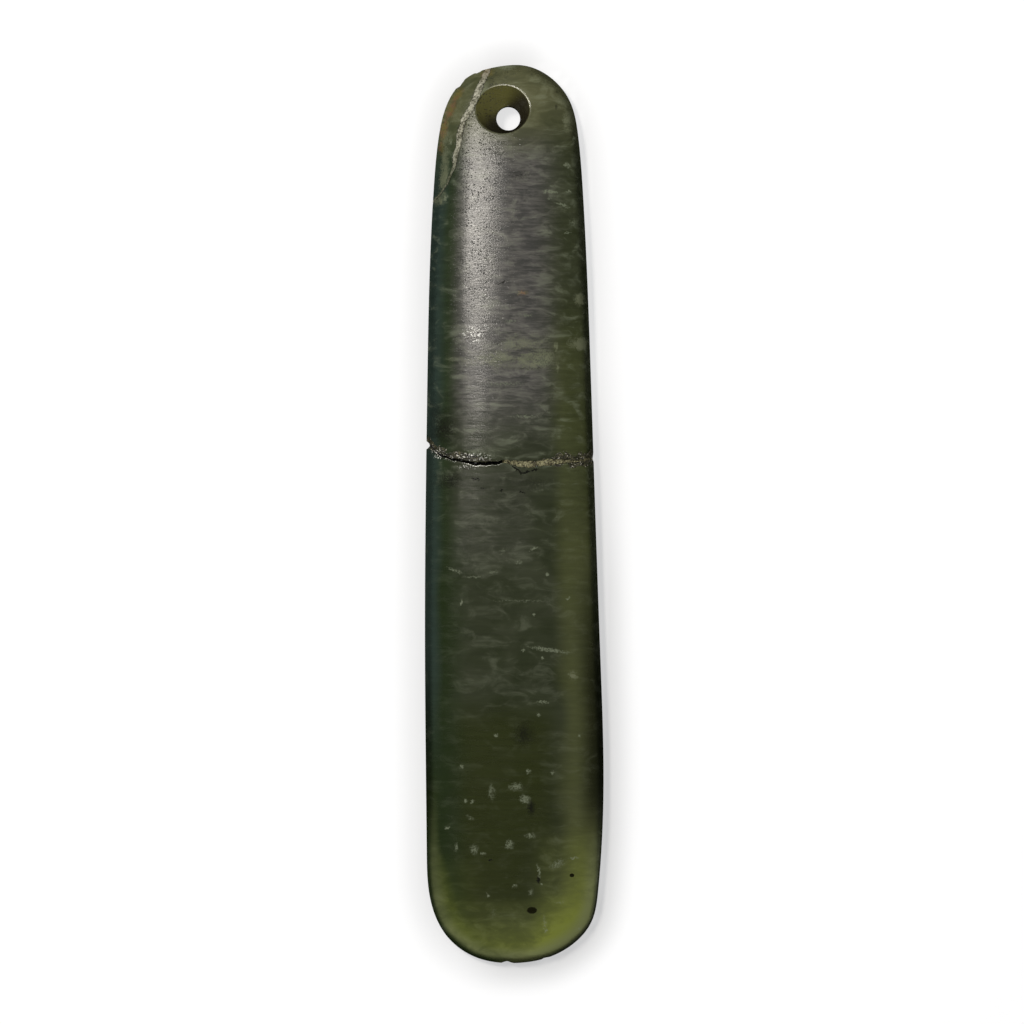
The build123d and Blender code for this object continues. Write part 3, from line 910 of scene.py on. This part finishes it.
def upper_stone():
    """The shaft is a four-sided grid from the break to a line under the hole. The head is a
    ring of straight lines from its outline to the hole's mouth, and the drilled wall and the
    broken walls close it."""
    columns, rows = crowded(101), crowded(171, 0.7)
    crack = within_rim(crack_line(1))
    neck = np.abs(crack[:, 1] - NECK).argmin()
    x = np.linspace(-WIDTH / 2, WIDTH / 2, 600)
    edge = np.stack([x, break_y(x, 1)], 1)
    edge = edge[rim_inside(edge)]
    left_rim = rim_stretch(crack[-1], edge[0])[::-1]
    left = np.vstack([left_rim, crack[neck:][::-1][1:]])
    right = rim_stretch(edge[-1], (WIDTH / 2, NECK))
    edge[0], edge[-1] = left[0], right[0]
    high = resampled(np.stack([left[-1], right[-1]]), columns)
    plan = four_sided(resampled(edge, columns), high, resampled(left, rows), resampled(right, rows))
    head_rim = resampled(rim_stretch(right[-1], crack[0]), np.linspace(0, 1, 151))
    head_crack = resampled(crack[: neck + 1], np.linspace(0, 1, 101))
    outline = np.vstack([high, head_rim[1:], head_crack[1:]])
    crack_start = len(high) + len(head_rim) - 2
    angle = np.arctan2(outline[:, 1] - MOUTH_Y, outline[:, 0] - MOUTH_X)
    turn = np.stack([np.cos(angle), np.sin(angle)], 1)
    mouth = (MOUTH_X, MOUTH_Y) + turn * (MOUTH_HALF_WIDTH, MOUTH_HALF_HEIGHT)
    back_mouth = (HOLE_X, HOLE_Y) + turn * BACK_MOUTH_RADIUS
    share = crowded(46, 0.8)[:, None, None]
    front_head = lifted(outline[None] * (1 - share) + mouth[None] * share, upper_face)
    back_head = lifted(outline[None] * (1 - share) + back_mouth[None] * share, back_height)
    face, back = lifted(plan, upper_face), lifted(plan, back_height)
    walls = [
        wall(face[0], back[0], 14, 0.08 * MM, 43),
        wall(face[:, 0], back[:, 0], 10, 0.05 * MM, 45),
        wall(front_head[0, crack_start:], back_head[0, crack_start:], 10, 0.05 * MM, 47),
    ]
    hole = drilled(front_head[-1], back_head[-1], angle)
    return joined("upper_stone_nephrite", [face, back, front_head, back_head, *walls, *hole])


upper = upper_stone()
nicked(upper)
x, y, z = mesh_points(upper).T
corner_share = CORNER_FRESHNESS * freshness(corner_chips(x, y, UPPER_CORNER_CHIPS))
zones(upper, np.maximum(freshness(lip_chips(x, y, 1, UPPER_CHIPS)), corner_share))
upper.data.materials.append(STONE)
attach(upper, "root")
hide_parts("upper_stone")


# Corner stone: the sliver of the same nephrite that came off the top left corner. It keeps
# the old brown rind on its rim, and is glued back along the slanting crack.


def corner_face(x, y, reach):
    return face_height(x, y, reach) - corner_chips(x, y, CORNER_CHIPS)


def corner_stone():
    """Face and back are grids of straight lines from the rim to the crack, which meet at
    both ends, with a broken wall between their edges at the crack."""
    crack = within_rim(crack_line(-1))
    outer = rim_stretch(crack[0], crack[-1])
    rows = crowded(221, 0.6)
    share = crowded(41)[None, :, None]
    outer, inner = resampled(outer, rows)[:, None], resampled(crack, rows)[:, None]
    plan = outer * (1 - share) + inner * share
    face, back = lifted(plan, corner_face), lifted(plan, back_height)
    return joined("corner_stone_nephrite", [face, back, wall(face[:, -1], back[:, -1], 10, 0.05 * MM, 49)])


corner = corner_stone()
nicked(corner)
x, y, z = mesh_points(corner).T
zones(corner, CORNER_FRESHNESS * freshness(corner_chips(x, y, CORNER_CHIPS)))
corner.data.materials.append(STONE)
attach(corner, "root")
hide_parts("corner_stone")


# Glue of the break and of the corner: old resin with stone dust in it, pressed into both cracks when the
# stone was mended. It is tan in the break, sunk on the left, where its dark colour is painted shade, and
# whitish and crumbly in the corner, with painted shade along one lip.

GLUE_CLEARANCE = 0.02 * MM
CRUMB_DEPTH = 0.15 * MM


def glue_seam(name, above, below, sunk, crumbs, beside):
    """A closed strip between two crack lines: its section runs over the crumbly top, down the one wall,
    back under the strip and up the other wall, carried along the crack. The strip's sunk attribute holds
    painted shade, where the glue lies deep and, as much as beside says, along the first line."""
    count = 700
    above, below = (resampled(line, np.linspace(0, 1, count)) for line in (above, below))
    across = np.linspace(0, 1, 9)[None, :, None]
    plan = above[:, None] * (1 - across) + below[:, None] * across
    flat = plan.reshape(-1, 2)
    reach = rim_reach(flat)[0]
    x, y = flat.T
    top, low = face_height(x, y, reach), back_height(x, y, reach)
    grain = crumbs * (ripple(x, y, 0.3 * MM, 71) + ripple(x, y, 0.12 * MM, 72))
    room = np.maximum(top - low, 0)
    top = top - np.minimum(sunk(x) - grain, 0.45 * room)
    low = low + np.minimum(0.15 * MM, 0.45 * room)
    top = np.dstack([plan, top.reshape(plan.shape[:2])])
    low = np.dstack([plan, low.reshape(plan.shape[:2])])
    walls = [wall(top[:, i], low[:, i], 4, 0.0, 73) for i in (0, -1)]
    ends = [wall(top[i], low[i], 4, 0.0, 73) for i in (0, -1)]
    seam = joined(name, [top, low, *walls, *ends])
    points = mesh_points(seam)
    lip = np.interp(points[:, 1], np.sort(above[:, 1]), above[np.argsort(above[:, 1]), 0])
    # painted shade: dark where the glue lies deep and along the first lip
    dark = soft_step(sunk(points[:, 0]), 0.3 * MM, 1.0 * MM)
    dark = np.maximum(dark, beside * soft_step(lip - points[:, 0], 0.14 * MM, 0.04 * MM))
    layer = seam.data.attributes.new("sunk", "FLOAT", "POINT")
    layer.data.foreach_set("value", dark.astype(np.float32))
    return seam


def glue_finish(name, dust, resin, stain, moss):
    """Crumbly glue: grains of stone dust, some white and some dark, in resin. It is stained brown at the
    top end and green where the corner crack runs out, and painted black as shade where it is sunk."""
    s = Shader(bpy.data.materials.new(name))
    crumb = s.noise((3.4, 3.4, 3.4), 4.0, 0.75)
    blotch = s.noise((1.1, 1.1, 1.1), 3.0, 0.6)
    dusty = s.math("ADD", s.times(crumb, 0.7), s.times(blotch, 0.3))
    colour = s.mix(s.ramp(dusty, 0.44, 0.56), rgb(*resin), rgb(*dust))
    colour = s.mix(s.ramp(crumb, 0.46, 0.39, 0.0, 0.9), colour, rgb(44, 42, 28))
    colour = s.mix(s.ramp(crumb, 0.62, 0.68, 0.0, 0.8), colour, rgb(214, 212, 198))
    height = s.add("SeparateXYZ", {"Vector": s.place()})["Y"]
    top = s.times(s.ramp(height, 53.5 * MM, 56 * MM), 0.6)
    colour = s.mix(top, colour, rgb(*stain))
    tail = s.times(s.ramp(height, 48 * MM, 41 * MM), moss)
    colour = s.mix(tail, colour, rgb(66, 72, 48))
    # painted shade: black where the glue is sunk and along the corner crack's lip
    colour = s.mix(s.tone("sunk"), colour, rgb(12, 11, 8))
    bump = s.add("Bump", {"Height": crumb, "Strength": 1.0, "Distance": CRUMB_DEPTH})["Normal"]
    roughness = s.ramp(crumb, 0.35, 0.65, 0.4, 0.75)
    s.fill(s.surface, {"Base Color": colour, "Roughness": roughness, "Normal": bump})
    return s.owner


def break_sunk(x):
    """How far the glue lies under the face: deep on the left, nearly level in the middle
    right, and a little sunk again at the right side."""
    left = soft_step(x, -1.2 * MM, -1.8 * MM)
    right = soft_step(x, 5.2 * MM, 6.4 * MM)
    return (0.06 + 1.5 * left + 0.4 * right) * MM


def corner_sunk(x):
    return 0.08 * MM + 0 * x


x = np.linspace(-WIDTH / 2, WIDTH / 2, 900)
lips = [np.stack([x, break_y(x, side) - side * GLUE_CLEARANCE], 1) for side in (1, -1)]
lips = [line[rim_inside(line)] for line in lips]
break_seam = glue_seam("break_glue_seam", lips[0], lips[1], break_sunk, 0.06 * MM, 0.0)
tan = glue_finish("tan_glue", (132, 128, 94), (68, 64, 42), (72, 68, 40), 0.0)
break_seam.data.materials.append(tan)

lips = [within_rim(crack_line(side)) for side in (1, -1)]
corner_seam = glue_seam("corner_glue_seam", lips[0], lips[1], corner_sunk, 0.06 * MM, 0.9)
white = glue_finish("white_glue", (166, 164, 146), (96, 95, 76), (118, 104, 78), 0.75)
corner_seam.data.materials.append(white)

for seam, node in ((break_seam, "break_glue"), (corner_seam, "corner_glue")):
    nicked(seam)
    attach(seam, "root")
    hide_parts(node)


# Camera, floor and light: the pendant lies on a white sheet, seen from straight above,
# with two soft windows up and to its left and a soft ceiling. The sheet is lit from below
# as well, least beside the stone, so that only a faint shadow is left around it.

VIEW_WIDTH = 0.128
VIEW_MIDDLE = (-0.29 * MM, 0.26 * MM)
CAMERA_HEIGHT = 0.480
camera_data = bpy.data.cameras.new("camera")
camera_data.sensor_width = 36
camera_data.lens = 36 * CAMERA_HEIGHT / VIEW_WIDTH
camera = bpy.data.objects.new("camera", camera_data)
camera.location = (*VIEW_MIDDLE, THICKNESS / 2 + CAMERA_HEIGHT)
bpy.context.scene.collection.objects.link(camera)
bpy.context.scene.camera = camera
bpy.context.scene.view_settings.view_transform = "Standard"

SHEET_HALF = 3.0
SHINE_BESIDE = 0.48
OPEN_SHINE = 0.6
HOLE_SHINE = 0.69
x = np.concatenate([[-SHEET_HALF], np.linspace(-24, 24, 49) * MM, [SHEET_HALF]])
y = np.concatenate([[-SHEET_HALF], np.linspace(-70, 70, 141) * MM, [SHEET_HALF]])
x, y = np.meshgrid(x, y)
floor = joined("floor", [np.dstack([x, y, 0 * x])])
floor.visible_glossy = False
floor.visible_diffuse = False
x, y, z = mesh_points(floor).T
from_left, from_right = side_distances(x, y)
under = (from_left > 0) & (from_right > 0) & (np.abs(y) < LENGTH / 2)
gap = rim_reach(np.stack([x, y], 1))[0] * np.where(under, -1, 1)
x, y, gap = x / MM, y / MM, gap / MM
right = soft_step(x, 0, 5)
# painted shadow: the sheet glows less beside the stone, most of all at its lower right and bottom end
shine = SHINE_BESIDE + 0.07 * right * soft_step(y, 4, 20) - 0.08 * right * soft_step(y, 6, -12)
shine -= 0.10 * soft_step(y, -50, -56) * soft_step(x, -8, 0) * (1 - 0.6 * right)
shine -= 0.04 * soft_step(y, 52, 56) * soft_step(np.abs(x), 5, 2)
shine += 0.08 * right * soft_step(gap, 0.9, 0.3)
shine += (OPEN_SHINE - shine) * soft_step(gap, 0.8, 5)
layer = floor.data.attributes.new("shine", "FLOAT", "POINT")
layer.data.foreach_set("value", shine.astype(np.float32))
paper = Shader(bpy.data.materials.new("white_sheet"))
fibre = paper.noise((0.5, 0.5, 0.5), 2.0)
tint = paper.mix(fibre, (0.390, 0.395, 0.405, 1), (0.400, 0.405, 0.415, 1))
# painted light: the sheet glows brighter under the cord hole
under_hole = {
    "Vector": paper.place(),
    "Location": (HOLE_X - 0.3 * MM, HOLE_Y + 0.3 * MM, 0),
    "Scale": (4 * MM, 4 * MM, 1),
}
under_hole = paper.add("Mapping", under_hole, vector_type="TEXTURE")["Vector"]
under_hole = paper.add("TexGradient", {"Vector": under_hole}, gradient_type="SPHERICAL")["Fac"]
shine = paper.largest(paper.tone("shine"), paper.ramp(under_hole, 0.2, 0.6, 0.0, HOLE_SHINE))
paper.fill(paper.surface, {
    "Base Color": tint,
    "Roughness": 0.95,
    "Specular IOR Level": 0.0,
    "Emission Color": (1, 1, 1, 1),
    "Emission Strength": shine,
})
floor.data.materials.append(paper.owner)


class Softbox(NamedTuple):
    name: str
    place: tuple  # metres
    size: tuple  # metres
    power: float  # watts
    colour: tuple
    mirrored: bool


SOFTBOXES = [
    Softbox("window_light", (-0.180, 0.175, 0.48), (0.04, 0.11), 1.17, (1.0, 0.945, 0.865), True),
    Softbox("low_window_light", (-0.180, 0.070, 0.48), (0.04, 0.10), 0.14, (1.0, 0.945, 0.865), True),
    Softbox("ceiling_light", (-0.62, 0.45, 0.75), (0.9, 0.9), 3.6, (1.0, 1.0, 1.0), False),
]
for box in SOFTBOXES:
    light = bpy.data.lights.new(box.name, "AREA")
    light.shape = "RECTANGLE"
    light.size, light.size_y = box.size
    light.energy = box.power
    light.color = box.colour
    lamp = bpy.data.objects.new(box.name, light)
    lamp.location = box.place
    lamp.rotation_euler = lamp.location.to_track_quat("Z", "Y").to_euler()
    lamp.visible_glossy = box.mirrored
    bpy.context.scene.collection.objects.link(lamp)

HORIZON = 0.02
SKY_LIGHT, GROUND_LIGHT = 0.55, 0.04
world = bpy.data.worlds.new("studio")
bpy.context.scene.world = world
world.cycles_visibility.glossy = False
studio = Shader(world, "Background")
way = studio.add("TexCoord", {})["Generated"]
sky = {
    "Value": studio.add("SeparateXYZ", {"Vector": way})["Z"],
    "From Min": -HORIZON,
    "From Max": HORIZON,
    "To Min": GROUND_LIGHT,
    "To Max": SKY_LIGHT,
}
sky = studio.add("MapRange", sky)["Result"]
seen = studio.add("LightPath", {})["Is Camera Ray"]
studio.fill(studio.surface, {"Color": (1, 1, 1, 1), "Strength": studio.largest(sky, seen)})
